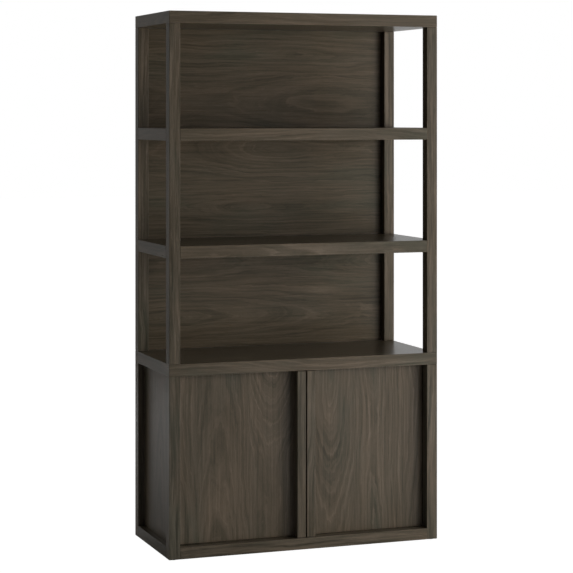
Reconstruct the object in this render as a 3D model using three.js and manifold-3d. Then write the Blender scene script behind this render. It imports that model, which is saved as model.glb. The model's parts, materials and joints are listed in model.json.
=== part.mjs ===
// Open-shelf bookcase standing on a cabinet with two hinged doors.
// Millimetres, +Z up. The origin is the middle of the footprint, on the floor.
// +X is to the right when the bookcase is seen from the front, and the front faces -Y.
import * as THREE from "three";
import { mergeVertices } from "three/addons/utils/BufferGeometryUtils.js";
import Module from "manifold-3d";

const wasm = await Module();
wasm.setup();

// Driving dimensions: the whole
const WIDTH = 1068;
const DEPTH = 460;
const BASE_HEIGHT = 45; // floor to the top of the base rails
const CABINET_OPENING = 625; // clear height of the door opening
const BAY_HEIGHT = 385; // clear height of each open bay
const SHELF_NAMES = ["lower_shelf", "upper_shelf"];

// Driving dimensions: the wooden pieces
const BOARD = 45; // top panel, shelves and deck
const POST = 42; // square posts, and the depth of the base rails
const BACK_THICKNESS = 10;
const BOTTOM_THICKNESS = 18;
const SIDE_THICKNESS = 12;
const DOOR_THICKNESS = 18;
const PULL_WIDTH = 33;
const PULL_SETBACK = 0.5; // pull strips, behind the posts' front faces
const INNER_SHELF_THICKNESS = 19;
const INNER_SHELF_SETBACK = 32; // inner shelf, behind the doors

// Named clearances
const JOINT_GAP = 0.3; // glue line between pieces that meet
const POST_TO_DOOR = 2;
const MEETING_GAP = 5; // between the two doors
const DOOR_GAP = 2; // above and below the doors
const SWING_CLEARANCE = 0.5;
const BORE_CLEARANCE = 0.3; // radial, round studs, dowels and pins that stay put
const PIN_CLEARANCE = 0.15; // radial, round the turning hinge pins
const SHELF_END_GAP = 1.5;

// Hinges: a flat leaf with a round nose, let into the wood
const PIVOT_SETBACK = 7; // pivot, from the door's front face and from its outer edge
const LEAF_LENGTH = 52;
const LEAF_WIDTH = 11;
const LEAF_THICKNESS = 2.5;
const HINGE_PIN_RADIUS = 2.5;
const HINGE_BOSS_RADIUS = 4.5;
const LEAF_SCREW_PLACES = [20, 42];
const LEAF_SCREW_RADIUS = 2.7;

// Catches and strike plates
const CATCH_LENGTH = 46;
const CATCH_DEPTH = 16;
const CATCH_HEIGHT = 13;
const CATCH_FROM_CENTRE = 55;
const CATCH_GAP = 0.5;
const STRIKE_LENGTH = 40;
const STRIKE_HEIGHT = 12;
const STRIKE_THICKNESS = 1.5;

// Fasteners, shelf pins and glides
const STUD_RADIUS = 4;
const STUD_EMBED = 40;
const DOWEL_RADIUS = 5;
const DOWEL_EMBED = 22;
const SHELF_PIN_RADIUS = 2.5;
const SHELF_PIN_HEAD_RADIUS = 4;
const SHELF_PIN_DEPTH = 9;
const SHELF_PIN_REACH = 8;
const PIN_HOLE_SPACING = 32;
const PIN_HOLES_EACH_WAY = 2; // further holes above and below the shelf pins
const PIN_COLUMN_INSET = 60; // pin holes, from the inner shelf's front and rear edges
const GLIDE_RADIUS = 13;
const GLIDE_HEIGHT = 2;
const GLIDE_SPIGOT_RADIUS = 3;
const GLIDE_SPIGOT_LENGTH = 14;

const ROUND_SEGMENTS = 24;

// Levels and planes that several pieces share
const DECK_UNDERSIDE = BASE_HEIGHT + CABINET_OPENING;
const DECK_TOP = DECK_UNDERSIDE + BOARD;
const TOP_UNDERSIDE = DECK_TOP + BAY_HEIGHT + SHELF_NAMES.length * (BOARD + BAY_HEIGHT);
const HEIGHT = TOP_UNDERSIDE + BOARD;
const FRONT = -DEPTH / 2;
const REAR = DEPTH / 2;
const OUTER = WIDTH / 2;
const POST_INNER = OUTER - POST;
const POST_CENTRE_X = OUTER - POST / 2;
const POST_CENTRE_Y = REAR - POST / 2;
const BACK_FRONT = REAR - BACK_THICKNESS;
const DOOR_FRONT = FRONT + POST;
const DOOR_BACK = DOOR_FRONT + DOOR_THICKNESS;
const DOOR_OUTER = POST_INNER - POST_TO_DOOR;
const DOOR_BOTTOM = BASE_HEIGHT + DOOR_GAP;
const DOOR_TOP = DECK_UNDERSIDE - DOOR_GAP;
const PIVOT_X = DOOR_OUTER - PIVOT_SETBACK;
const PIVOT_Y = DOOR_FRONT + PIVOT_SETBACK;
const BEHIND_PIVOT = DOOR_THICKNESS - PIVOT_SETBACK;
// The cabinet side stands just clear of the door's back corner as it swings
const SIDE_INNER = PIVOT_X + Math.hypot(PIVOT_SETBACK, BEHIND_PIVOT) + SWING_CLEARANCE;
const SIDE_OUTER = SIDE_INNER + SIDE_THICKNESS;
const INNER_SHELF_FRONT = DOOR_BACK + INNER_SHELF_SETBACK;
const INNER_SHELF_REAR = REAR - POST - SHELF_END_GAP;
const INNER_SHELF_UNDERSIDE = BASE_HEIGHT + (CABINET_OPENING - INNER_SHELF_THICKNESS) / 2;
const SHELF_PIN_Z = INNER_SHELF_UNDERSIDE - JOINT_GAP - SHELF_PIN_HEAD_RADIUS;
const PIN_COLUMNS = [INNER_SHELF_FRONT + PIN_COLUMN_INSET, INNER_SHELF_REAR - PIN_COLUMN_INSET];

const SIDES = [
  { name: "left", sign: -1 },
  { name: "right", sign: 1 },
];
const ENDS = [
  { name: "front", sign: -1 },
  { name: "rear", sign: 1 },
];

// Materials, one for each slot of finish
function finish(color, roughness, metalness) {
  return () => new THREE.MeshStandardMaterial({ color, roughness, metalness });
}
const walnut = finish(0x4f463b, 0.45, 0);
const doorWalnut = finish(0x564c40, 0.45, 0);
const backWalnut = finish(0x463e34, 0.5, 0);
const steel = finish(0x8c8c8a, 0.35, 0.9);
const beech = finish(0xb08d62, 0.7, 0);
const nylon = finish(0x2a2826, 0.6, 0);

const bookcase = new THREE.Group();
bookcase.name = "bookcase";

function place(name, geometry, position, material) {
  const mesh = new THREE.Mesh(geometry, material());
  mesh.name = name;
  mesh.position.copy(position);
  bookcase.add(mesh);
}

// Booleans on closed geometries
function toSolid(geometry) {
  const bare = geometry.clone();
  bare.deleteAttribute("normal");
  bare.deleteAttribute("uv");
  const merged = mergeVertices(bare);
  const vertProperties = new Float32Array(merged.attributes.position.array);
  const triVerts = new Uint32Array(merged.index.array);
  return new wasm.Manifold(new wasm.Mesh({ numProp: 3, vertProperties, triVerts }));
}

function toGeometry(solid) {
  const { vertProperties, triVerts } = solid.getMesh();
  const geometry = new THREE.BufferGeometry();
  geometry.setAttribute("position", new THREE.BufferAttribute(vertProperties, 3));
  geometry.setIndex(new THREE.BufferAttribute(triVerts, 1));
  geometry.computeVertexNormals();
  return geometry;
}

function combine(geometry, added, removed) {
  let solid = toSolid(geometry);
  for (const piece of added) {
    solid = solid.add(toSolid(piece));
  }
  for (const cutter of removed) {
    solid = solid.subtract(toSolid(cutter));
  }
  return toGeometry(solid);
}

// Round bars along Z and along X, given by where they start and end
function rodZ(radius, x, y, z0, z1) {
  const rod = new THREE.CylinderGeometry(radius, radius, Math.abs(z1 - z0), ROUND_SEGMENTS);
  return rod.rotateX(Math.PI / 2).translate(x, y, (z0 + z1) / 2);
}

function rodX(radius, x0, x1, y, z) {
  const rod = new THREE.CylinderGeometry(radius, radius, Math.abs(x1 - x0), ROUND_SEGMENTS);
  return rod.rotateZ(Math.PI / 2).translate((x0 + x1) / 2, y, z);
}

// The span between two neighbours, less a glue line at each end
function between(low, high) {
  return [low + JOINT_GAP, high - JOINT_GAP];
}

// A span on the left or right half, given by its distances from the centre line
function mirrored(sign, inner, outer) {
  return sign > 0 ? [inner, outer] : [-outer, -inner];
}

// A rectangular board over three spans, less the cutters that its neighbours need
function board(name, spanX, spanY, spanZ, material, cutters = []) {
  const low = new THREE.Vector3(spanX[0], spanY[0], spanZ[0]);
  const high = new THREE.Vector3(spanX[1], spanY[1], spanZ[1]);
  const size = high.clone().sub(low);
  const centre = low.clone().add(high).multiplyScalar(0.5);
  let geometry = new THREE.BoxGeometry(size.x, size.y, size.z);
  if (cutters.length > 0) {
    const local = cutters.map((cutter) => cutter.translate(-centre.x, -centre.y, -centre.z));
    geometry = combine(geometry, [], local);
  }
  place(name, geometry, centre, material);
}

// Hinge leaves lie in the XY plane with their nose on the pivot and their tail to the centre line.
// With a clearance the plate grows on every side, so as a cutter it opens on the wooden face.
function leafPlate(sign, face, into, clearance = 0) {
  const nose = LEAF_WIDTH / 2 + clearance;
  const tail = LEAF_LENGTH + clearance;
  const depth = LEAF_THICKNESS + 2 * clearance;
  const middle = face + into * (LEAF_THICKNESS / 2);
  const outline = new THREE.Shape();
  outline.absarc(0, 0, nose, Math.PI / 2, Math.PI * 1.5, false);
  outline.lineTo(tail, -nose);
  outline.lineTo(tail, nose);
  outline.closePath();
  const plate = new THREE.ExtrudeGeometry(outline, {
    depth,
    bevelEnabled: false,
    curveSegments: ROUND_SEGMENTS / 2,
  });
  plate.rotateZ(sign > 0 ? Math.PI : 0);
  return plate.translate(sign * PIVOT_X, PIVOT_Y, middle - depth / 2);
}

function leafPocket(sign, face, into) {
  return leafPlate(sign, face, into, BORE_CLEARANCE);
}

function leafScrewHoles(sign, face, into) {
  const places = LEAF_SCREW_PLACES.map((along) => sign * (PIVOT_X - along));
  const reach = 2 * LEAF_THICKNESS * into;
  return places.map((x) => rodZ(LEAF_SCREW_RADIUS, x, PIVOT_Y, face - reach, face + reach));
}

function addHinge(side, level) {
  const x = side.sign * PIVOT_X;
  const name = `${side.name}_${level.name}_hinge`;
  const origin = new THREE.Vector3(x, PIVOT_Y, level.carcassFace);
  const toLocal = (geometry) => geometry.translate(-origin.x, -origin.y, -origin.z);

  // The carcass leaf has a boss that spaces it from the door leaf
  const bossEnd = level.doorFace + level.up * JOINT_GAP;
  const bossRoot = level.carcassFace + level.up * (LEAF_THICKNESS / 2);
  const boss = rodZ(HINGE_BOSS_RADIUS, x, PIVOT_Y, bossEnd, bossRoot);
  const pastLeaf = level.carcassFace + level.up * 2 * LEAF_THICKNESS;
  const pastBoss = level.doorFace - level.up * LEAF_THICKNESS;
  const bore = rodZ(HINGE_PIN_RADIUS + PIN_CLEARANCE, x, PIVOT_Y, pastBoss, pastLeaf);
  const carcassPlate = leafPlate(side.sign, level.carcassFace, level.up);
  const carcassHoles = leafScrewHoles(side.sign, level.carcassFace, level.up);
  const carcassLeaf = combine(carcassPlate, [boss], [bore, ...carcassHoles]);
  place(`${name}_carcass_leaf`, toLocal(carcassLeaf), origin, steel);

  // The door leaf carries the pin
  const pinRoot = level.doorFace - level.up * (LEAF_THICKNESS / 2);
  const pinEnd = level.carcassFace + level.up * (LEAF_THICKNESS - JOINT_GAP);
  const pin = rodZ(HINGE_PIN_RADIUS, x, PIVOT_Y, pinRoot, pinEnd);
  const doorPlate = leafPlate(side.sign, level.doorFace, -level.up);
  const doorHoles = leafScrewHoles(side.sign, level.doorFace, -level.up);
  const doorLeaf = combine(doorPlate, [pin], doorHoles);
  place(`${name}_door_leaf`, toLocal(doorLeaf), origin, steel);
}

const HINGE_LEVELS = [
  { name: "upper", up: 1, carcassFace: DECK_UNDERSIDE, doorFace: DOOR_TOP },
  { name: "lower", up: -1, carcassFace: BASE_HEIGHT, doorFace: DOOR_BOTTOM },
];

// Bores on the post centres, the same for every corner
function cornerBores(radius, z0, z1) {
  const bores = [];
  for (const side of SIDES) {
    for (const end of ENDS) {
      bores.push(rodZ(radius, side.sign * POST_CENTRE_X, end.sign * POST_CENTRE_Y, z0, z1));
    }
  }
  return bores;
}

// Top panel and deck, which run over the posts
function addTopAndDeck() {
  const spanX = [-OUTER, OUTER];
  const spanY = [FRONT, REAR];
  const dowelBores = cornerBores(
    DOWEL_RADIUS + BORE_CLEARANCE,
    TOP_UNDERSIDE - DOWEL_EMBED,
    TOP_UNDERSIDE + DOWEL_EMBED,
  );
  board("top_panel", spanX, spanY, [TOP_UNDERSIDE, HEIGHT], walnut, dowelBores);

  const studBores = cornerBores(
    STUD_RADIUS + BORE_CLEARANCE,
    DECK_UNDERSIDE - STUD_EMBED,
    DECK_TOP + STUD_EMBED,
  );
  const pockets = SIDES.map((side) => leafPocket(side.sign, DECK_UNDERSIDE, 1));
  board("deck", spanX, spanY, [DECK_UNDERSIDE, DECK_TOP], walnut, [...studBores, ...pockets]);
}

// Open shelves, notched round the posts and stopped at the back panel
function addOpenShelves() {
  const postFace = POST_INNER - JOINT_GAP;
  const sideFront = FRONT + POST + JOINT_GAP;
  const sideRear = REAR - POST - JOINT_GAP;
  const rear = BACK_FRONT - JOINT_GAP;
  const outline = new THREE.Shape([
    new THREE.Vector2(-postFace, FRONT),
    new THREE.Vector2(postFace, FRONT),
    new THREE.Vector2(postFace, sideFront),
    new THREE.Vector2(OUTER, sideFront),
    new THREE.Vector2(OUTER, sideRear),
    new THREE.Vector2(postFace, sideRear),
    new THREE.Vector2(postFace, rear),
    new THREE.Vector2(-postFace, rear),
    new THREE.Vector2(-postFace, sideRear),
    new THREE.Vector2(-OUTER, sideRear),
    new THREE.Vector2(-OUTER, sideFront),
    new THREE.Vector2(-postFace, sideFront),
  ]);
  SHELF_NAMES.forEach((name, index) => {
    const underside = DECK_TOP + BAY_HEIGHT + index * (BOARD + BAY_HEIGHT);
    const shelf = new THREE.ExtrudeGeometry(outline, { depth: BOARD, bevelEnabled: false });
    place(name, shelf, new THREE.Vector3(0, 0, underside), walnut);
  });
}

// Posts at the four corners, with the studs, dowels and glides on their centres
function addCorner(side, end) {
  const name = `${end.name}_${side.name}`;
  const x = side.sign * POST_CENTRE_X;
  const y = end.sign * POST_CENTRE_Y;
  const spanX = [x - POST / 2, x + POST / 2];
  const spanY = [y - POST / 2, y + POST / 2];
  const studLow = DECK_UNDERSIDE - STUD_EMBED;
  const studHigh = DECK_TOP + STUD_EMBED;
  const studBore = STUD_RADIUS + BORE_CLEARANCE;
  const dowelLow = TOP_UNDERSIDE - DOWEL_EMBED;
  const dowelHigh = TOP_UNDERSIDE + DOWEL_EMBED;
  const dowelBore = DOWEL_RADIUS + BORE_CLEARANCE;
  const spigotTop = GLIDE_HEIGHT + GLIDE_SPIGOT_LENGTH;
  const spigotBore = GLIDE_SPIGOT_RADIUS + BORE_CLEARANCE;

  const lowerCutters = [
    rodZ(studBore, x, y, studLow, DECK_TOP),
    rodZ(spigotBore, x, y, 0, spigotTop + BORE_CLEARANCE),
  ];
  const lowerZ = [GLIDE_HEIGHT + JOINT_GAP, DECK_UNDERSIDE - JOINT_GAP];
  board(`${name}_lower_post`, spanX, spanY, lowerZ, walnut, lowerCutters);

  const upperCutters = [
    rodZ(studBore, x, y, DECK_UNDERSIDE, studHigh),
    rodZ(dowelBore, x, y, dowelLow, HEIGHT),
  ];
  const upperZ = between(DECK_TOP, TOP_UNDERSIDE);
  board(`${name}_upper_post`, spanX, spanY, upperZ, walnut, upperCutters);

  const studLength = studHigh - studLow - 2 * BORE_CLEARANCE;
  const stud = rodZ(STUD_RADIUS, 0, 0, -studLength / 2, studLength / 2);
  place(`${name}_stud`, stud, new THREE.Vector3(x, y, (studLow + studHigh) / 2), steel);

  const dowelLength = dowelHigh - dowelLow - 2 * BORE_CLEARANCE;
  const dowel = rodZ(DOWEL_RADIUS, 0, 0, -dowelLength / 2, dowelLength / 2);
  place(`${name}_dowel`, dowel, new THREE.Vector3(x, y, TOP_UNDERSIDE), beech);

  const profile = [
    new THREE.Vector2(0, 0),
    new THREE.Vector2(GLIDE_RADIUS, 0),
    new THREE.Vector2(GLIDE_RADIUS, GLIDE_HEIGHT),
    new THREE.Vector2(GLIDE_SPIGOT_RADIUS, GLIDE_HEIGHT),
    new THREE.Vector2(GLIDE_SPIGOT_RADIUS, spigotTop),
    new THREE.Vector2(0, spigotTop),
  ];
  const glide = new THREE.LatheGeometry(profile, ROUND_SEGMENTS).rotateX(Math.PI / 2);
  place(`${name}_glide`, glide, new THREE.Vector3(x, y, 0), nylon);
}

// Base rails between the lower posts, and the cabinet's bottom panel inside them
function addBase() {
  const railZ = [GLIDE_HEIGHT + JOINT_GAP, BASE_HEIGHT];
  const alongX = between(-POST_INNER, POST_INNER);
  const alongY = between(FRONT + POST, REAR - POST);
  board("front_base_rail", alongX, [FRONT, FRONT + POST], railZ, walnut);
  board("rear_base_rail", alongX, [REAR - POST, REAR], railZ, walnut);
  for (const side of SIDES) {
    board(`${side.name}_base_rail`, mirrored(side.sign, POST_INNER, OUTER), alongY, railZ, walnut);
  }
  const pockets = SIDES.map((side) => leafPocket(side.sign, BASE_HEIGHT, -1));
  const bottomZ = [BASE_HEIGHT - BOTTOM_THICKNESS, BASE_HEIGHT];
  board("cabinet_bottom", alongX, alongY, bottomZ, walnut, pockets);
}

// Cabinet sides between the posts, with their rows of shelf-pin holes
function addCabinetSide(side) {
  const inner = side.sign * SIDE_INNER;
  const blindEnd = side.sign * (SIDE_INNER + SHELF_PIN_DEPTH);
  const holes = [];
  for (const y of PIN_COLUMNS) {
    for (let step = -PIN_HOLES_EACH_WAY; step <= PIN_HOLES_EACH_WAY; step += 1) {
      const z = SHELF_PIN_Z + step * PIN_HOLE_SPACING;
      holes.push(rodX(SHELF_PIN_RADIUS + BORE_CLEARANCE, inner - side.sign, blindEnd, y, z));
    }
  }
  const spanX = mirrored(side.sign, SIDE_INNER, SIDE_OUTER);
  const spanY = between(FRONT + POST, REAR - POST);
  const spanZ = between(BASE_HEIGHT, DECK_UNDERSIDE);
  board(`${side.name}_cabinet_side`, spanX, spanY, spanZ, walnut, holes);
}

function addBackPanels() {
  const spanX = between(-POST_INNER, POST_INNER);
  const spanY = [BACK_FRONT, REAR];
  board("upper_back_panel", spanX, spanY, between(DECK_TOP, TOP_UNDERSIDE), backWalnut);
  board("cabinet_back_panel", spanX, spanY, between(BASE_HEIGHT, DECK_UNDERSIDE), backWalnut);
}

// Each door is a flat panel with a pull strip on its meeting edge
function addDoor(side) {
  const doorZ = [DOOR_BOTTOM, DOOR_TOP];
  const pockets = [
    leafPocket(side.sign, DOOR_TOP, -1),
    leafPocket(side.sign, DOOR_BOTTOM, 1),
  ];
  const spanX = mirrored(side.sign, MEETING_GAP / 2, DOOR_OUTER);
  board(`${side.name}_door_panel`, spanX, [DOOR_FRONT, DOOR_BACK], doorZ, doorWalnut, pockets);

  const pullX = mirrored(side.sign, MEETING_GAP / 2, MEETING_GAP / 2 + PULL_WIDTH);
  const pullY = [FRONT + PULL_SETBACK, DOOR_FRONT - JOINT_GAP];
  board(`${side.name}_pull_strip`, pullX, pullY, doorZ, walnut);
}

// A catch under the deck and its strike plate on the door's back
function addCatch(side) {
  const x = side.sign * CATCH_FROM_CENTRE;
  const strikeX = [x - STRIKE_LENGTH / 2, x + STRIKE_LENGTH / 2];
  const strikeY = [DOOR_BACK + JOINT_GAP, DOOR_BACK + JOINT_GAP + STRIKE_THICKNESS];
  board(`${side.name}_strike_plate`, strikeX, strikeY, [DOOR_TOP - STRIKE_HEIGHT, DOOR_TOP], steel);

  const catchX = [x - CATCH_LENGTH / 2, x + CATCH_LENGTH / 2];
  const catchY = [strikeY[1] + CATCH_GAP, strikeY[1] + CATCH_GAP + CATCH_DEPTH];
  const catchTop = DECK_UNDERSIDE - JOINT_GAP;
  board(`${side.name}_magnetic_catch`, catchX, catchY, [catchTop - CATCH_HEIGHT, catchTop], nylon);
}

// The adjustable shelf rests on four pins in the cabinet sides
function addInnerShelf() {
  const reach = SIDE_INNER - SHELF_END_GAP;
  const spanY = [INNER_SHELF_FRONT, INNER_SHELF_REAR];
  const spanZ = [INNER_SHELF_UNDERSIDE, INNER_SHELF_UNDERSIDE + INNER_SHELF_THICKNESS];
  board("inner_shelf", [-reach, reach], spanY, spanZ, walnut);
}

function addShelfPin(side, end, y) {
  const shoulder = -side.sign * JOINT_GAP;
  const tip = side.sign * (SHELF_PIN_DEPTH - BORE_CLEARANCE);
  const head = rodX(SHELF_PIN_HEAD_RADIUS, shoulder, -side.sign * SHELF_PIN_REACH, 0, 0);
  const shank = rodX(SHELF_PIN_RADIUS, 2 * shoulder, tip, 0, 0);
  const pin = combine(head, [shank], []);
  const position = new THREE.Vector3(side.sign * SIDE_INNER, y, SHELF_PIN_Z);
  place(`${end.name}_${side.name}_shelf_pin`, pin, position, steel);
}

addTopAndDeck();
addOpenShelves();
addBase();
addBackPanels();
addInnerShelf();
for (const side of SIDES) {
  addCabinetSide(side);
  addDoor(side);
  addCatch(side);
  HINGE_LEVELS.forEach((level) => addHinge(side, level));
  ENDS.forEach((end, index) => {
    addCorner(side, end);
    addShelfPin(side, end, PIN_COLUMNS[index]);
  });
}

export default bookcase;
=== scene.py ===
# %% [markdown]
# # A walnut bookcase on a two-door cabinet
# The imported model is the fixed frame: it holds the size, place and movement of every piece. This script
# dresses that frame. Each wooden piece is modelled again with softened edges and a veneer whose grain
# runs the way a cabinet maker would lay it, and the steel and plastic fittings get their own detail and
# finish. Everything is in metres, +X to the right, -Y to the front and +Z up.

# %% Load the frame
import json
import math

import bpy
from mathutils import Matrix, Vector


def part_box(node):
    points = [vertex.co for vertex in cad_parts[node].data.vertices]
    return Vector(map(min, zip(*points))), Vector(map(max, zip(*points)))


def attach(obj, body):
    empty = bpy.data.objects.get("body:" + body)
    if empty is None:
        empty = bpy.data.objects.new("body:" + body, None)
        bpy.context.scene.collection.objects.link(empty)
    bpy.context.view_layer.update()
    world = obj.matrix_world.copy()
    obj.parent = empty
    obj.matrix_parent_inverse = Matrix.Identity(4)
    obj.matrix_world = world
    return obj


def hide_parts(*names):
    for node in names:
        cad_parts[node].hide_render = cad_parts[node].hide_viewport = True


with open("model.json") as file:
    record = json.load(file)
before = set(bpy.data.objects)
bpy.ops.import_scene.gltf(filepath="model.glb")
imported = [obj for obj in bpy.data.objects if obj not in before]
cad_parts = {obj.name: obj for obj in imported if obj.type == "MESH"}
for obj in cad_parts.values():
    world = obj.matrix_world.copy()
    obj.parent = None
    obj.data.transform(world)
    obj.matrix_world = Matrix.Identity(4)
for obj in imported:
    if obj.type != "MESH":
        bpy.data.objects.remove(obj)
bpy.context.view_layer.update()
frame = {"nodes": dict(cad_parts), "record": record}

# %% [markdown]
# ## The camera
# A tall piece of furniture is usually pictured with the camera level and the picture plane shifted down,
# so that its uprights stay parallel. The camera stands in front and to the left, at about the eye height
# of a person, and looks 20 degrees to the right. A long lens keeps the perspective gentle.

# %% Place the camera
EYE_HEIGHT = 1.623
CAMERA_TURN = math.radians(20.02)
CAMERA_PLACE = (-2.5476, -7.0032, EYE_HEIGHT)
SENSOR_WIDTH = 36.0
LENS = 121.73
HORIZON_SHIFT = -0.2988

bpy.ops.object.camera_add(location=CAMERA_PLACE, rotation=(math.radians(90), 0, -CAMERA_TURN))
camera = bpy.context.object
camera.name = "studio_camera"
camera.data.sensor_width = SENSOR_WIDTH
camera.data.lens = LENS
camera.data.shift_y = HORIZON_SHIFT
bpy.context.scene.camera = camera
bpy.context.scene.view_settings.view_transform = "Standard"
print("camera at", CAMERA_PLACE, "lens", LENS, "mm")

# %% [markdown]
# ## Writing shader maths as Python
# A wood finish is mostly arithmetic on coordinates. Wiring a Math node for each sum by hand is slow to
# read, so a small class wraps a socket and lets Python's own operators add the nodes. Another class holds
# one material and has one method that makes any other kind of node.

# %% A socket that can be added, multiplied and compared
class Value:
    """A number that varies over a surface: one output socket of a material's node tree."""

    def __init__(self, finish, socket):
        self.finish = finish
        self.socket = socket

    def __add__(self, other):
        return self.finish.maths("ADD", self, other)

    def __sub__(self, other):
        return self.finish.maths("SUBTRACT", self, other)

    def __mul__(self, other):
        return self.finish.maths("MULTIPLY", self, other)

    def __truediv__(self, other):
        return self.finish.maths("DIVIDE", self, other)

    def __rsub__(self, other):
        return self.finish.maths("SUBTRACT", other, self)

    def __gt__(self, other):
        return self.finish.maths("GREATER_THAN", self, other)

    __radd__ = __add__
    __rmul__ = __mul__


# %% A finish: one material and the nodes that make it
class Finish:
    """A node material with a Principled shader at its end."""

    def __init__(self, name, **settings):
        self.material = bpy.data.materials.new(name)
        self.material.use_nodes = True
        self.tree = self.material.node_tree
        self.shader = self.tree.nodes["Principled BSDF"]
        for socket, value in settings.items():
            self.shader.inputs[socket.replace("_", " ")].default_value = value

    def feed(self, target, value):
        """Links a wrapped socket to an input, or writes a plain value into it."""
        if isinstance(value, Value):
            self.tree.links.new(value.socket, target)
        else:
            target.default_value = value

    def node(self, kind, output, inputs=None, stops=None, **settings):
        """Makes a node, sets it up, feeds its inputs and hands back one of its outputs."""
        made = self.tree.nodes.new(kind)
        for setting, value in settings.items():
            setattr(made, setting, value)
        if stops:
            ramp = made.color_ramp
            while len(ramp.elements) < len(stops):
                ramp.elements.new(0.5)
            for element, (position, colour) in zip(ramp.elements, stops):
                element.position = position
                element.color = (*colour, 1.0)
        for name, value in (inputs or {}).items():
            self.feed(made.inputs[name], value)
        return Value(self, made.outputs[output])

    def maths(self, operation, first, second=0.0):
        return self.node("ShaderNodeMath", 0, {0: first, 1: second}, operation=operation)

    def blend(self, factor, first, second, how="MIX"):
        """Mixes two colours."""
        inputs = {0: factor, 6: first, 7: second}
        return self.node("ShaderNodeMix", 2, inputs, data_type="RGBA", blend_type=how)

    def vector(self, x, y, z=0.0):
        return self.node("ShaderNodeCombineXYZ", 0, {0: x, 1: y, 2: z})

    def split(self, vector):
        made = self.node("ShaderNodeSeparateXYZ", 0, {0: vector})
        return [Value(self, socket) for socket in made.socket.node.outputs]

    def noise(self, vector, detail=2.0, roughness=0.5):
        inputs = {"Vector": vector, "Scale": 1.0, "Detail": detail, "Roughness": roughness}
        return self.node("ShaderNodeTexNoise", "Fac", inputs)

    def ramp(self, value, stops):
        return self.node("ShaderNodeValToRGB", "Color", {0: value}, stops)

    def paint(self, socket, value):
        self.feed(self.shader.inputs[socket], value)

    def bump(self, height, distance, strength=1.0):
        inputs = {"Height": height, "Distance": distance, "Strength": strength}
        self.paint("Normal", self.node("ShaderNodeBump", "Normal", inputs))


# %% [markdown]
# ## The walnut veneer
# Veneer is a leaf sliced from a log. A leaf cut near the heart shows arches, because the slice passes
# through the growth rings at a shallow, wandering depth; further out the rings become straight lines. The
# finish follows that: the distance to the heart line is worked out at each point and divided by the ring
# spacing, which gives the age of the wood there. The colour is a noise over the age, so every streak
# bends with the rings, and each year ends in a thin pale line. Wide panels are made of several leaves
# side by side, each with its own heart. The dark stain leaves warm brown streaks, duller greenish patches
# round the hearts, and short dark pores that can be felt. The pattern reads each piece's own "grain" map,
# which runs along and across the grain in metres.

# %% The age of the wood at each point
LEAF_WIDTH = 0.207
RING_SPACING = 0.0125
HEART_TAPER = 0.62


def leaf_distance(finish, along, across):
    """The distance from the heart of the log inside a leaf of veneer, and a number of each leaf's own."""
    place = across / LEAF_WIDTH
    leaf = finish.maths("FLOOR", place)
    chance = finish.node("ShaderNodeTexWhiteNoise", "Value", {"W": leaf}, noise_dimensions="1D")
    wander = finish.noise(finish.vector(along * 2.6, leaf * 5.3, 4.7), 2.0) - 0.5
    from_heart = (place - leaf - 0.35 - chance * 0.3) * LEAF_WIDTH + wander * 0.04
    slow = finish.noise(finish.vector(along * 0.55 + chance * 97.0, leaf * 3.7, 0.0), 1.0) - 0.5
    depth = slow * HEART_TAPER
    return finish.maths("SQRT", from_heart * from_heart + depth * depth), chance


def straight_distance(finish, along, across):
    """The same for narrow strips, which are cut far from the heart."""
    wander = finish.noise(finish.vector(along * 1.2, across * 3.0, 4.7), 2.0) - 0.5
    return across * 0.8 + wander * 0.09, 0.0


# %% [markdown]
# ## The colour, gloss and pores of the walnut
# A dark stain flattens walnut's own red-brown, and leaves thin pale lines where each year ends. A colour
# ramp turns the tone at each point into one of five stain colours, and a second ramp shifts the hue from
# dull olive round the hearts to warm brown elsewhere. The lacquer is thin, so the fibres still show in
# its gloss. The back panels take a darker, slightly yellower copy of these colours: painted shade of the
# deep bays.

# %% The walnut finish
WALNUT = (0.081, 0.0665, 0.0475)
WALNUT_TONES = [
    (0.14, (0.48, 0.49, 0.45)),
    (0.36, (0.78, 0.79, 0.76)),
    (0.50, (1.00, 1.00, 1.00)),
    (0.66, (1.28, 1.27, 1.30)),
    (0.86, (1.62, 1.62, 1.72)),
]
OLIVE = (0.86, 0.93, 0.91)
PLAIN = (1.01, 0.99, 0.96)
RUSSET = (1.06, 0.99, 0.93)
PALE_LINE = [(0.00, (0.0,) * 3), (0.70, (0.10,) * 3), (0.90, (1.0,) * 3), (1.00, (0.0,) * 3)]


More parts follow.
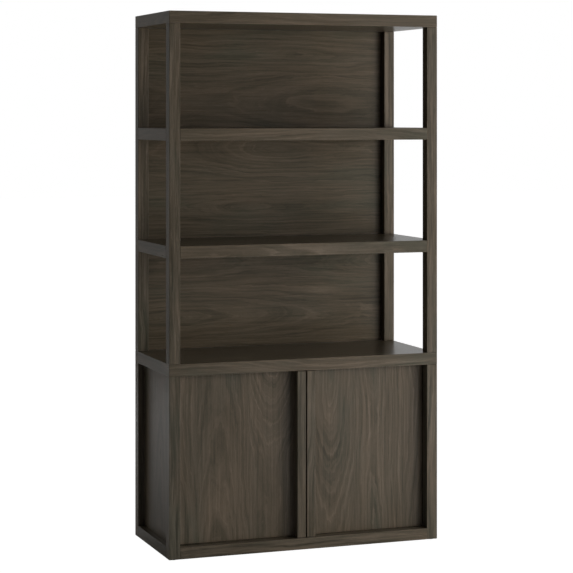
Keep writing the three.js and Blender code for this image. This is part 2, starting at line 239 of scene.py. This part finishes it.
def walnut(name, distance_of, lift, contrast):
    finish = Finish(name, Specular_IOR_Level=0.36)
    grain = finish.node("ShaderNodeUVMap", "UV", uv_map="grain")
    along, across, _ = finish.split(grain)
    distance, chance = distance_of(finish, along, across)
    sway = finish.noise(finish.vector(along * 5.0, across * 24.0, 1.3), 4.0, 0.6) - 0.5
    jag = finish.noise(finish.vector(along * 26.0, across * 90.0, 8.3), 2.0, 0.6) - 0.5
    age = distance / RING_SPACING + sway * 1.7 + jag * 0.5

    growth = finish.noise(finish.vector(age * 1.25, along * 1.7, chance * 9.0), 5.0, 0.7) - 0.5
    streaks = finish.noise(finish.vector(along * 2.3, across * 110.0, 2.9), 3.0, 0.6) - 0.5
    line = finish.ramp(finish.maths("FRACT", age), PALE_LINE)
    fade = finish.noise(finish.vector(along * 3.0, across * 18.0, 9.1), 2.0)
    fibres = finish.noise(finish.vector(along * 7.0, across * 520.0, 6.1), 3.0, 0.65) - 0.5
    clouds = finish.noise(finish.vector(along * 2.4, across * 6.0, 7.7), 2.0) - 0.5
    pores = finish.noise(finish.vector(along * 55.0, across * 1700.0, 3.3), 1.0) > 0.64
    figure = growth * (1.2 * contrast) + line * fade * 0.28 + clouds * 0.24
    texture = streaks * (0.6 * contrast) + fibres * 0.6 - pores * 0.12
    tone = figure + texture + 0.45

    stops = [
        (place, tuple(channel * shade * light for channel, shade, light in zip(WALNUT, shades, lift)))
        for place, shades in WALNUT_TONES
    ]
    colour = finish.ramp(tone, stops)
    patches = finish.noise(finish.vector(along * 2.6 + 3.0, across * 9.0, 5.5), 3.0)
    near_heart = finish.ramp(distance, [(0.0, (1.0,) * 3), (0.035, (0.0,) * 3)])
    warmth = patches + near_heart * -0.12 + tone * 0.2
    hue = finish.ramp(warmth, [(0.38, OLIVE), (0.52, PLAIN), (0.74, RUSSET)])
    finish.paint("Base Color", finish.blend(1.0, colour, hue, "MULTIPLY"))
    finish.paint("Roughness", 0.29 + fibres * 0.08 - growth * 0.05)
    finish.bump(fibres * 0.5 - pores, 0.00012, 0.6)
    return finish.material


frame_walnut = walnut("walnut_straight", straight_distance, (0.94, 0.94, 0.93), 1.7)
panel_walnut = walnut("walnut_leaves", leaf_distance, (1.0, 0.99, 0.97), 1.0)
# The back panels' copy of the veneer is darker and slightly yellower: painted shade of the deep bays, laid
# into the panels' own colour.
shaded_back_walnut = walnut("walnut_backs", leaf_distance, (0.84, 0.82, 0.75), 1.0)
print("walnut nodes", len(panel_walnut.node_tree.nodes))

# %% [markdown]
# ## Steel, plastic, nylon and beech
# The fittings are small, so their finish is mostly in the roughness: zinc-plated steel has fine rolling
# lines, the catch housings have the fine grain of moulded plastic, and the dowels are bare turned beech.

# %% The fittings' finishes
def plated_steel():
    finish = Finish("zinc_plated_steel", Metallic=1.0)
    place = finish.node("ShaderNodeTexCoord", "Object")
    x, y, z = finish.split(place)
    rolled = finish.noise(finish.vector(x * 60.0, y * 1800.0, z * 1800.0), 3.0)
    bloom = finish.noise(finish.vector(x * 90.0, y * 90.0, z * 90.0), 2.0)
    finish.paint("Base Color", finish.ramp(bloom, [(0.3, (0.47, 0.47, 0.45)), (0.7, (0.62, 0.61, 0.58))]))
    finish.paint("Roughness", 0.26 + rolled * 0.24)
    finish.bump(rolled, 0.00003, 0.5)
    return finish.material


def moulded_plastic(name, colour, roughness):
    finish = Finish(name)
    place = finish.node("ShaderNodeTexCoord", "Object")
    x, y, z = finish.split(place)
    pebble = finish.noise(finish.vector(x * 2600.0, y * 2600.0, z * 2600.0), 2.0)
    cloud = finish.noise(finish.vector(x * 70.0, y * 70.0, z * 70.0), 2.0)
    light = tuple(channel * 1.5 for channel in colour)
    finish.paint("Base Color", finish.ramp(cloud, [(0.3, colour), (0.7, light)]))
    finish.paint("Roughness", roughness + pebble * 0.15)
    finish.bump(pebble, 0.00005, 0.6)
    return finish.material


def turned_beech():
    finish = Finish("bare_beech")
    place = finish.node("ShaderNodeTexCoord", "Object")
    x, y, z = finish.split(place)
    flecks = finish.noise(finish.vector(x * 900.0, y * 900.0, z * 45.0), 3.0)
    tones = [(0.35, (0.40, 0.25, 0.12)), (0.65, (0.58, 0.40, 0.22))]
    finish.paint("Base Color", finish.ramp(flecks, tones))
    finish.paint("Roughness", 0.55 + flecks * 0.2)
    finish.bump(flecks, 0.00008, 0.6)
    return finish.material


steel = plated_steel()
catch_plastic = moulded_plastic("catch_plastic", (0.018, 0.016, 0.014), 0.45)
glide_nylon = moulded_plastic("glide_nylon", (0.030, 0.028, 0.026), 0.50)
beech = turned_beech()

# %% [markdown]
# ## Helpers for modelling a board
# A board starts as a cube primitive of the right size in the right place. Its sharp edges are then
# selected in edit mode and bevelled, because real veneered edges are eased with fine paper and catch a
# thin line of light. Weighted normals keep the broad faces flat in the light although the eased edges are
# smooth.

# %% Start a block, ease its edges and finish it
SHARP_ANGLE = math.radians(30)


def select_only(piece):
    bpy.ops.object.select_all(action="DESELECT")
    piece.select_set(True)
    bpy.context.view_layer.objects.active = piece


def settle(piece):
    """Puts the piece's place and size into its mesh, so that its object sits at the origin."""
    select_only(piece)
    bpy.ops.object.transform_apply(location=True, rotation=True, scale=True)


def add_block(name, low, high):
    bpy.ops.object.select_all(action="DESELECT")
    bpy.ops.mesh.primitive_cube_add(size=1, location=(low + high) / 2, scale=high - low)
    block = bpy.context.object
    block.name = name
    block.data.name = name
    settle(block)
    return block


def ease_edges(piece, width, segments=3):
    """Rounds the sharp edges of a closed piece and shades it smooth."""
    select_only(piece)
    bpy.ops.object.mode_set(mode="EDIT")
    bpy.ops.mesh.select_mode(type="EDGE")
    bpy.ops.mesh.select_all(action="DESELECT")
    bpy.ops.mesh.edges_select_sharp(sharpness=SHARP_ANGLE)
    bpy.ops.mesh.bevel(offset=width, segments=segments, profile=0.5, affect="EDGES")
    bpy.ops.object.mode_set(mode="OBJECT")
    bpy.ops.object.shade_smooth()
    apply_modifier(piece, "WEIGHTED_NORMAL", keep_sharp=True)


def apply_modifier(piece, kind, **settings):
    select_only(piece)
    modifier = piece.modifiers.new(kind.lower(), kind)
    for setting, value in settings.items():
        setattr(modifier, setting, value)
    bpy.ops.object.modifier_apply(modifier=modifier.name)


# %% [markdown]
# ## Laying the veneer
# The maker chooses the grain's direction for each piece: along the boards, up the posts and doors. The
# short ends of a board are covered with edge veneer that runs along the edge. This helper writes the
# "grain" map: for each face it finds which way it looks, which way the grain runs on it, and stores the
# distance along and across. Every piece and every side of it is cut from another part of the veneer, so
# no two look the same.

# %% Write the grain map
FRONT_FACING = 2
SIDE_SHIFT = 0.377
SHEET_SHIFT = (2.31, 0.613)


def lay_veneer(piece, run, sheet):
    """Maps a piece's faces along and across the grain. run is 0, 1 or 2 for X, Y or Z."""
    mesh = piece.data
    while mesh.uv_layers:
        mesh.uv_layers.remove(mesh.uv_layers[0])
    layer = mesh.uv_layers.new(name="grain")
    spans = piece.dimensions
    for face in mesh.polygons:
        facing = max(range(3), key=lambda axis: abs(face.normal[axis]))
        others = [axis for axis in range(3) if axis != facing]
        along = run if run != facing else max(others, key=lambda axis: spans[axis])
        across = others[1] if others[0] == along else others[0]
        side = 2 * facing + int(face.normal[facing] > 0) - FRONT_FACING
        for corner in face.loop_indices:
            place = mesh.vertices[mesh.loops[corner].vertex_index].co
            u = place[along] + sheet * SHEET_SHIFT[0] + side * SIDE_SHIFT
            v = place[across] + sheet * SHEET_SHIFT[1] + side * SIDE_SHIFT
            layer.data[corner].uv = (u, v)


def finish_piece(piece, node, material):
    """Gives a new piece its finish and its body, and hides the CAD node that it stands for."""
    piece.data.materials.clear()
    piece.data.materials.append(material)
    body = body_of[node]
    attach(piece, body)
    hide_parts(node)
    return piece


body_of = {}
for body_name, members in frame["record"]["behaviour"]["bodies"].items():
    for member in members:
        body_of[member] = body_name
slot_of = {entry["node"]: entry["material_slot"] for entry in frame["record"]["subparts"]}

# %% [markdown]
# ## Posts, rails, boards and panels
# Most of the bookcase is square-edged boards. They differ in size, in the way the grain runs and in how
# far their edges are eased, so one table names them and one loop makes them. The sizes come from the
# frame.

# %% Make the plain boards
ALONG_X, ALONG_Y, ALONG_Z = 0, 1, 2
EASE = 0.0012
FINE_EASE = 0.0006
GLUE_LINE = 0.0003


def make_board(node, run, sheet, material, ease=EASE):
    low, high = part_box(node)
    piece = add_block(f"{node}_wood", low, high)
    ease_edges(piece, ease)
    lay_veneer(piece, run, sheet)
    return finish_piece(piece, node, material)


corners = [f"{end}_{side}" for end in ("front", "rear") for side in ("left", "right")]
posts = [f"{corner}_{storey}_post" for storey in ("lower", "upper") for corner in corners]
boards = [(node, ALONG_Z, frame_walnut, EASE) for node in posts]
boards += [
    ("top_panel", ALONG_X, panel_walnut, EASE),
    ("deck", ALONG_X, panel_walnut, EASE),
    ("front_base_rail", ALONG_X, frame_walnut, EASE),
    ("rear_base_rail", ALONG_X, frame_walnut, EASE),
    ("left_base_rail", ALONG_Y, frame_walnut, EASE),
    ("right_base_rail", ALONG_Y, frame_walnut, EASE),
    ("cabinet_bottom", ALONG_X, panel_walnut, FINE_EASE),
    ("inner_shelf", ALONG_X, panel_walnut, FINE_EASE),
    # The back panels use the darker copy of the veneer, which paints the shade of the bays into them.
    ("upper_back_panel", ALONG_X, shaded_back_walnut, FINE_EASE),
    ("cabinet_back_panel", ALONG_X, shaded_back_walnut, FINE_EASE),
]
for sheet, (node, run, material, ease) in enumerate(boards):
    make_board(node, run, sheet, material, ease)
print(len(boards), "boards made")

# %% [markdown]
# ## The open shelves
# Each shelf is one thick board notched round the four posts, so that its edges lie flush with them. It
# starts as a flat rectangle. Four cuts mark the notches, the corner pieces are deleted, and what is left
# is pulled down to the board's thickness before its edges are eased.

# %% Cut, thicken and ease a shelf
def cut_across(axis, place):
    """Cuts the mesh being edited with a plane square to X or Y."""
    normal = [0.0, 0.0, 0.0]
    normal[axis] = 1.0
    point = [0.0, 0.0, 0.0]
    point[axis] = place
    bpy.ops.mesh.select_all(action="SELECT")
    bpy.ops.mesh.bisect(plane_co=point, plane_no=normal)


def make_shelf(node, sheet):
    low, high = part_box(node)
    _, front_post_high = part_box("front_left_upper_post")
    rear_post_low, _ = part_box("rear_left_upper_post")
    post_face = front_post_high.x + GLUE_LINE
    front_cut = front_post_high.y + GLUE_LINE
    rear_cut = rear_post_low.y - GLUE_LINE
    middle = (low + high) / 2
    size = high - low
    bpy.ops.object.select_all(action="DESELECT")
    bpy.ops.mesh.primitive_plane_add(size=1, location=(middle.x, middle.y, high.z))
    shelf = bpy.context.object
    shelf.name = f"{node}_wood"
    shelf.scale = (size.x, size.y, 1)
    settle(shelf)

    bpy.ops.object.mode_set(mode="EDIT")
    for place in (post_face, -post_face):
        cut_across(0, place)
    for place in (front_cut, rear_cut):
        cut_across(1, place)
    bpy.ops.mesh.select_all(action="DESELECT")
    bpy.ops.mesh.select_mode(type="FACE")
    bpy.ops.object.mode_set(mode="OBJECT")
    for face in shelf.data.polygons:
        beside_posts = abs(face.center.x) > abs(post_face)
        at_corner = face.center.y < front_cut or face.center.y > rear_cut
        face.select = beside_posts and at_corner
    bpy.ops.object.mode_set(mode="EDIT")
    bpy.ops.mesh.delete(type="FACE")
    bpy.ops.mesh.select_all(action="SELECT")
    thickness = Vector((0, 0, low.z - high.z))
    bpy.ops.mesh.extrude_region_move(TRANSFORM_OT_translate={"value": thickness})
    bpy.ops.mesh.select_all(action="SELECT")
    bpy.ops.mesh.normals_make_consistent(inside=False)
    bpy.ops.mesh.dissolve_limited(angle_limit=math.radians(1))
    bpy.ops.object.mode_set(mode="OBJECT")
    ease_edges(shelf, EASE)
    lay_veneer(shelf, ALONG_X, sheet)
    print(node, "faces", len(shelf.data.polygons))
    return finish_piece(shelf, node, panel_walnut)


for number, shelf_node in enumerate(("lower_shelf", "upper_shelf")):
    make_shelf(shelf_node, len(boards) + number)

# %% [markdown]
# ## The cabinet sides
# The sides carry two rows of holes for the shelf pins. The holes are drilled as a maker would: one drill
# for each hole, all joined into one cutter, and a Boolean modifier takes them out of the board.

# %% Drill and finish a cabinet side
PIN_HOLE_RADIUS = 0.0027
PIN_HOLE_DEPTH = 0.009
PIN_HOLE_SPACING = 0.032
PIN_STEPS = (-2, -1, 0, 1, 2)


def drill_for(side, inward):
    """One cutter with a drill at every pin hole of a cabinet side."""
    low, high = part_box(f"{side}_cabinet_side")
    inner_x = high.x if inward > 0 else low.x
    drills = []
    bpy.ops.object.select_all(action="DESELECT")
    for end in ("front", "rear"):
        pin_low, pin_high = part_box(f"{end}_{side}_shelf_pin")
        pin_middle = (pin_low + pin_high) / 2
        for step in PIN_STEPS:
            bpy.ops.mesh.primitive_cylinder_add(
                vertices=24,
                radius=PIN_HOLE_RADIUS,
                depth=2 * PIN_HOLE_DEPTH,
                location=(inner_x, pin_middle.y, pin_middle.z + step * PIN_HOLE_SPACING),
                rotation=(0, math.radians(90), 0),
            )
            drills.append(bpy.context.object)
    for drill in drills:
        drill.select_set(True)
    bpy.ops.object.join()
    cutter = bpy.context.object
    settle(cutter)
    return cutter


def make_cabinet_side(side, inward, sheet):
    node = f"{side}_cabinet_side"
    low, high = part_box(node)
    piece = add_block(f"{node}_wood", low, high)
    ease_edges(piece, FINE_EASE)
    cutter = drill_for(side, inward)
    apply_modifier(piece, "BOOLEAN", object=cutter, operation="DIFFERENCE", solver="EXACT")
    bpy.data.objects.remove(cutter)
    lay_veneer(piece, ALONG_Z, sheet)
    print(node, "with", 2 * len(PIN_STEPS), "pin holes, faces", len(piece.data.polygons))
    return finish_piece(piece, node, panel_walnut)


make_cabinet_side("left", 1, len(boards) + 2)
make_cabinet_side("right", -1, len(boards) + 3)

# %% [markdown]
# ## The doors and their pull strips
# Both doors are cut from one run of veneer, so the leaves pass from one door to the next, and both take
# the same sheet number. The pull strip is a solid bar on the door's meeting edge; it stands out to the
# front of the posts.

# %% Make the doors
DOOR_SHEET = 0
FIRST_PULL_SHEET = 31

for side in ("left", "right"):
    make_board(f"{side}_door_panel", ALONG_Z, DOOR_SHEET, panel_walnut, EASE)
for number, side in enumerate(("left", "right")):
    make_board(f"{side}_pull_strip", ALONG_Z, FIRST_PULL_SHEET + number, frame_walnut, EASE)

# %% [markdown]
# ## One screw head, made once
# The hinges, catches and strike plates are held by countersunk wood screws. Only their heads show, so one
# head is made: a short cylinder whose lower face is shrunk to a cone, with softened edges and a cross cut
# into it. Copies with their own meshes are then set into every screw hole.

# %% Make a countersunk head with a cross recess
SCREW_RADIUS = 0.00262
SCREW_DEPTH = 0.0022
CROSS_LENGTH = 0.0030
CROSS_WIDTH = 0.00065
CROSS_DEPTH = 0.0011


def edit_faces(piece, wanted):
    """Opens a piece in edit mode with only the faces that pass a test selected."""
    select_only(piece)
    bpy.ops.object.mode_set(mode="EDIT")
    bpy.ops.mesh.select_mode(type="FACE")
    bpy.ops.mesh.select_all(action="DESELECT")
    bpy.ops.object.mode_set(mode="OBJECT")
    for face in piece.data.polygons:
        face.select = wanted(face)
    bpy.ops.object.mode_set(mode="EDIT")


def cut_out(piece, cutter):
    apply_modifier(piece, "BOOLEAN", object=cutter, operation="DIFFERENCE", solver="EXACT")
    bpy.data.objects.remove(cutter)


def make_screw_head():
    bpy.ops.object.select_all(action="DESELECT")
    bpy.ops.mesh.primitive_cylinder_add(
        vertices=32, radius=SCREW_RADIUS, depth=SCREW_DEPTH, location=(0, 0, -SCREW_DEPTH / 2)
    )
    head = bpy.context.object
    settle(head)
    edit_faces(head, lambda face: face.normal.z < -0.9)
    bpy.ops.transform.resize(value=(0.45, 0.45, 1), center_override=(0, 0, -SCREW_DEPTH))
    bpy.ops.object.mode_set(mode="OBJECT")
    ease_edges(head, 0.00012, segments=2)
    for length, width in ((CROSS_LENGTH, CROSS_WIDTH), (CROSS_WIDTH, CROSS_LENGTH)):
        reach = Vector((length / 2, width / 2, CROSS_DEPTH))
        cut_out(head, add_block("cross_cutter", -reach, reach))
    return head


screw_head = make_screw_head()
print("screw head faces", len(screw_head.data.polygons))


# %% [markdown]
# ## Setting a screw
# Every screw is a copy of the one head with a mesh of its own. It is turned to look along the way it was
# driven, and its cross is left at a different angle each time, as a hand-held driver leaves it.

# %% Copy a piece, and point a screw
CROSS_TURN = 900.0


def copy_piece(original, name, placing):
    """A copy with its own mesh, put in place by a matrix."""
    copy = original.copy()
    copy.data = original.data.copy()
    copy.name = name
    copy.data.name = name
    copy.data.transform(placing)
    bpy.context.collection.objects.link(copy)
    return copy


def add_screw(name, place, facing, body):
    """Sets a screw head whose cross looks along a direction."""
    turn = Vector(facing).to_track_quat("Z", "Y").to_matrix().to_4x4()
    spin = Matrix.Rotation(sum(place) * CROSS_TURN, 4, "Z")
    screw = copy_piece(screw_head, name, Matrix.Translation(place) @ turn @ spin)
    screw.data.materials.clear()
    screw.data.materials.append(steel)
    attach(screw, body)
    return screw


# %% [markdown]
# ## The pivot hinges
# Each door turns on two flat knife hinges let into the wood, one leaf in the carcass and one in the door.
# The leaves keep the shape that they have in the frame, and two screws are set into the holes of every
# leaf.

# %% Screw the hinge leaves
LEAF_NOSE = 0.0055
LEAF_THICKNESS = 0.0025
LEAF_SCREW_PLACES = (0.020, 0.042)
SCREW_SINK = 0.0001

for side, outward in (("left", -1), ("right", 1)):
    for level in ("upper", "lower"):
        for part in ("carcass", "door"):
            leaf = f"{side}_{level}_hinge_{part}_leaf"
            low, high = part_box(leaf)
            looks_up = (level == "lower") == (part == "carcass")
            face_z = low.z + LEAF_THICKNESS if looks_up else high.z - LEAF_THICKNESS
            up = 1 if looks_up else -1
            pivot_x = high.x - LEAF_NOSE if outward > 0 else low.x + LEAF_NOSE
            for number, along in enumerate(LEAF_SCREW_PLACES):
                place = Vector((pivot_x - outward * along, (low.y + high.y) / 2, face_z - up * SCREW_SINK))
                add_screw(f"{leaf}_screw_{number + 1}", place, (0, 0, up), body_of[leaf])
print("screws set in 8 leaves")

# %% [markdown]
# ## The magnetic catches and their strike plates
# A catch is a moulded housing screwed up under the deck. Its face is hollowed, and two steel pole plates
# stand in the hollow and pull on the strike plate, which is a thin plate screwed to the door's back.

# %% Make the catches
CATCH_LIP = 0.0004
HOLLOW_RIM = 0.0030
HOLLOW_DEPTH = 0.0020
POLE_LENGTH = 0.022
POLE_THICKNESS = 0.0016
POLE_OFFSET = 0.0024
COUNTERBORE_RADIUS = 0.0034
COUNTERBORE_DEPTH = 0.0030
CATCH_SCREW_OFFSET = 0.0165
CATCH_SCREW_SETBACK = 0.0020
CATCH_SCREW_RAISE = 0.0007


def add_drill(place, radius, depth, turn=(0, 0, 0)):
    bpy.ops.object.select_all(action="DESELECT")
    bpy.ops.mesh.primitive_cylinder_add(
        vertices=32, radius=radius, depth=depth, location=place, rotation=turn
    )
    drill = bpy.context.object
    settle(drill)
    return drill


def make_catch(side):
    node = f"{side}_magnetic_catch"
    low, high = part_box(node)
    middle = (low + high) / 2
    housing = add_block(f"{side}_catch_housing", low + Vector((0, CATCH_LIP, 0)), high)
    edit_faces(housing, lambda face: face.normal.y < -0.9)
    bpy.ops.mesh.inset(thickness=HOLLOW_RIM)
    bpy.ops.mesh.extrude_region_move(TRANSFORM_OT_translate={"value": (0, HOLLOW_DEPTH, 0)})
    bpy.ops.object.mode_set(mode="OBJECT")
    ease_edges(housing, 0.0006)
    for step in (-1, 1):
        x = middle.x + step * CATCH_SCREW_OFFSET
        y = middle.y + CATCH_SCREW_SETBACK
        cut_out(housing, add_drill((x, y, low.z), COUNTERBORE_RADIUS, 2 * COUNTERBORE_DEPTH))
        name = f"{side}_catch_screw_{1 if step < 0 else 2}"
        add_screw(name, Vector((x, y, low.z + CATCH_SCREW_RAISE)), (0, 0, -1), "carcass")
    finish_piece(housing, node, catch_plastic)

    poles = []
    for step in (-1, 1):
        centre = Vector((middle.x, low.y, middle.z + step * POLE_OFFSET))
        reach = Vector((POLE_LENGTH / 2, 0, POLE_THICKNESS / 2))
        depth = Vector((0, CATCH_LIP + HOLLOW_DEPTH - 0.0001, 0))
        pole = add_block(f"{side}_catch_poles", centre - reach, centre + reach + depth)
        ease_edges(pole, 0.0002, segments=2)
        poles.append(pole)
    select_only(poles[0])
    poles[1].select_set(True)
    bpy.ops.object.join()
    poles[0].data.materials.append(steel)
    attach(poles[0], "carcass")


for side in ("left", "right"):
    make_catch(side)


# %% [markdown]
# ## The strike plates
# A strike is a thin steel plate on the door's back. It is drilled for two screws, and its edges are
# softened as punched plates are after tumbling.

# %% Make the strike plates
STRIKE_SCREW_OFFSET = 0.0150
STRIKE_HOLE_RADIUS = SCREW_RADIUS + 0.0001
DRILL_LENGTH = 0.010


def make_strike(side):
    node = f"{side}_strike_plate"
    low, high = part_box(node)
    middle = (low + high) / 2
    plate = add_block(f"{side}_strike", low, high)
    ease_edges(plate, 0.0003, segments=2)
    for step in (-1, 1):
        x = middle.x + step * STRIKE_SCREW_OFFSET
        hole = Vector((x, middle.y, middle.z))
        drill = add_drill(hole, STRIKE_HOLE_RADIUS, DRILL_LENGTH, (math.radians(90), 0, 0))
        cut_out(plate, drill)
        name = f"{side}_strike_screw_{1 if step < 0 else 2}"
        add_screw(name, Vector((x, high.y - SCREW_SINK, middle.z)), (0, 1, 0), body_of[node])
    finish_piece(plate, node, steel)
    print(node, "faces", len(plate.data.polygons))


for side in ("left", "right"):
    make_strike(side)

# %% [markdown]
# ## The shelf pins
# Pins and glides are small turned parts. A pin is a short head with a thinner shank: one end face of a
# cylinder is inset and drawn out. A glide is a flat nylon foot with a spigot that is knocked into the
# post, made the same way. Each is made once and copied to its four places.

# %% Turn the shelf pins
PIN_HEAD_RADIUS = 0.0040
PIN_HEAD_LENGTH = 0.0077
PIN_SHANK_RADIUS = 0.0025
PIN_SHANK_LENGTH = 0.0090


def make_turned(radius, length, thin_radius, thin_length, ease):
    """A cylinder from z = 0 downwards to -length, with a thinner end drawn out upwards."""
    bpy.ops.object.select_all(action="DESELECT")
    bpy.ops.mesh.primitive_cylinder_add(
        vertices=32, radius=radius, depth=length, location=(0, 0, -length / 2)
    )
    piece = bpy.context.object
    settle(piece)
    edit_faces(piece, lambda face: face.normal.z > 0.9)
    bpy.ops.mesh.inset(thickness=radius - thin_radius)
    bpy.ops.mesh.extrude_region_move(TRANSFORM_OT_translate={"value": (0, 0, thin_length)})
    bpy.ops.object.mode_set(mode="OBJECT")
    ease_edges(piece, ease)
    return piece


pin = make_turned(PIN_HEAD_RADIUS, PIN_HEAD_LENGTH, PIN_SHANK_RADIUS, PIN_SHANK_LENGTH, 0.0005)
for side, outward in (("left", -1), ("right", 1)):
    for end in ("front", "rear"):
        node = f"{end}_{side}_shelf_pin"
        low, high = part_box(node)
        tip = high.x if outward > 0 else low.x
        middle = (low + high) / 2
        shoulder = Vector((tip - outward * PIN_SHANK_LENGTH, middle.y, middle.z))
        turn = Matrix.Rotation(outward * math.radians(90), 4, "Y")
        copy = copy_piece(pin, f"{node}_turned", Matrix.Translation(shoulder) @ turn)
        finish_piece(copy, node, steel)
bpy.data.objects.remove(pin)

# %% [markdown]
# ## The glides
# The glides keep the lower posts off the floor, and come from the same turning helper as the pins.

# %% Turn the glides
GLIDE_RADIUS = 0.0130
GLIDE_HEIGHT = 0.0020
SPIGOT_RADIUS = 0.0030
SPIGOT_LENGTH = 0.0140

glide = make_turned(GLIDE_RADIUS, GLIDE_HEIGHT, SPIGOT_RADIUS, SPIGOT_LENGTH, 0.0004)
for corner in corners:
    node = f"{corner}_glide"
    low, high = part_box(node)
    middle = (low + high) / 2
    placing = Matrix.Translation((middle.x, middle.y, low.z + GLIDE_HEIGHT))
    copy = copy_piece(glide, f"{node}_turned", placing)
    finish_piece(copy, node, glide_nylon)
bpy.data.objects.remove(glide)
bpy.data.objects.remove(screw_head)

# %% [markdown]
# ## Carried-over fittings
# The hinge leaves, the studs inside the posts and the dowels under the top panel are already the right
# shape in the frame, so they only get their finish.

# %% Finish the carried-over nodes
material_for_slot = {
    "steel": steel,
    "beech": beech,
    "catch_plastic": catch_plastic,
    "glide_nylon": glide_nylon,
}
carried = [node for node, obj in frame["nodes"].items() if not obj.hide_render]
for node in carried:
    materials = frame["nodes"][node].data.materials
    materials.clear()
    materials.append(material_for_slot[slot_of[node]])
print(len(carried), "nodes carried over")

# %% [markdown]
# ## The floor
# A studio floor is white where the lens sees it, yet throws only a little light back up. Two planes keep
# these jobs apart: one is seen and lights nothing, the other is not seen and bounces the light.

# %% Lay the floor
FLOOR_WIDTH = 60


def add_floor(name, finish):
    bpy.ops.object.select_all(action="DESELECT")
    bpy.ops.mesh.primitive_plane_add(size=FLOOR_WIDTH, location=(0, 0, 0))
    floor = bpy.context.object
    floor.name = name
    floor.data.materials.append(finish.material)
    return floor


white_floor = Finish(
    "white_floor", Base_Color=(0.3, 0.3, 0.3, 1.0), Roughness=0.9, Specular_IOR_Level=0.0,
    Emission_Color=(1.0, 1.0, 1.0, 1.0), Emission_Strength=1.0,
)
pale_floor = Finish("pale_floor", Base_Color=(0.78, 0.78, 0.78, 1.0), Roughness=0.9, Specular_IOR_Level=0.0)

seen_floor = add_floor("seen_floor", white_floor)
seen_floor.visible_diffuse = False
seen_floor.visible_glossy = False
seen_floor.visible_shadow = False
bounce_floor = add_floor("bounce_floor", pale_floor)
bounce_floor.visible_camera = False


# %% [markdown]
# ## The studio lights
# The light comes low from the front right, from two large softboxes, so the right faces of the posts stay
# bright and the bays fall into shadow. Weaker softboxes stand behind. Softboxes that light the wood are
# kept out of its reflections; pale cards, which light nothing, give the soft sheen instead.

# %% Hang the lights
def add_softbox(name, place, aim, size, watts):
    direction = Vector(aim) - Vector(place)
    turn = direction.to_track_quat("-Z", "Y").to_euler()
    bpy.ops.object.light_add(type="AREA", location=place, rotation=turn)
    lamp = bpy.context.object
    lamp.name = name
    lamp.data.shape = "RECTANGLE"
    lamp.data.size, lamp.data.size_y = size
    lamp.data.energy = watts
    return lamp


key = add_softbox("key_softbox", (3.55, -2.05, 1.15), (0, 0, 1.1), (2.8, 2.6), 125)
front = add_softbox("front_softbox", (2.4, -3.3, 1.15), (0, 0, 1.1), (2.8, 2.6), 84)
rear_right = add_softbox("rear_right_softbox", (3.2, 4.2, 1.6), (0, 0, 1.0), (1.8, 2.6), 25)
rear_left = add_softbox("rear_left_softbox", (-3.2, 3.4, 1.2), (0, 0, 1.0), (1.8, 2.6), 42)
rear = add_softbox("rear_softbox", (0.4, 4.4, 1.2), (0, 0, 1.0), (2.8, 2.6), 55)
for lamp in (key, front, rear_right, rear_left, rear):
    lamp.visible_glossy = False


def add_card(name, place, aim, size, radiance):
    """A pale card that is only seen in reflections."""
    width, height = size
    card = add_softbox(name, place, aim, size, radiance * math.pi * width * height)
    card.visible_diffuse = False
    return card


add_card("key_card", (3.2, -2.7, 2.6), (0, 0, 1.3), (2.4, 2.6), 1.63)
add_card("rear_right_card", (3.4, 7.0, 2.0), (0, 0, 1.0), (4.5, 5.0), 0.66)
add_card("rear_left_card", (-5.0, 6.0, 2.0), (0, 0, 1.0), (8.0, 5.0), 0.156)

# %% [markdown]
# ## The room's light
# The room is white behind the bookcase and much dimmer as a light, so that the shadows between the boards
# stay deep. A Light Path node tells the world which of the two is asked for.

# %% The room's light
ROOM_LIGHT = 0.095

world = bpy.data.worlds.new("studio_room")
bpy.context.scene.world = world
world.use_nodes = True
room = world.node_tree
background = room.nodes["Background"]
background.inputs["Strength"].default_value = 1.0
path = room.nodes.new("ShaderNodeLightPath")
dim = room.nodes.new("ShaderNodeMix")
dim.data_type = "RGBA"
dim.inputs[6].default_value = (ROOM_LIGHT, ROOM_LIGHT, ROOM_LIGHT, 1.0)
dim.inputs[7].default_value = (1.0, 1.0, 1.0, 1.0)
room.links.new(path.outputs["Is Camera Ray"], dim.inputs[0])
room.links.new(dim.outputs[2], background.inputs["Color"])
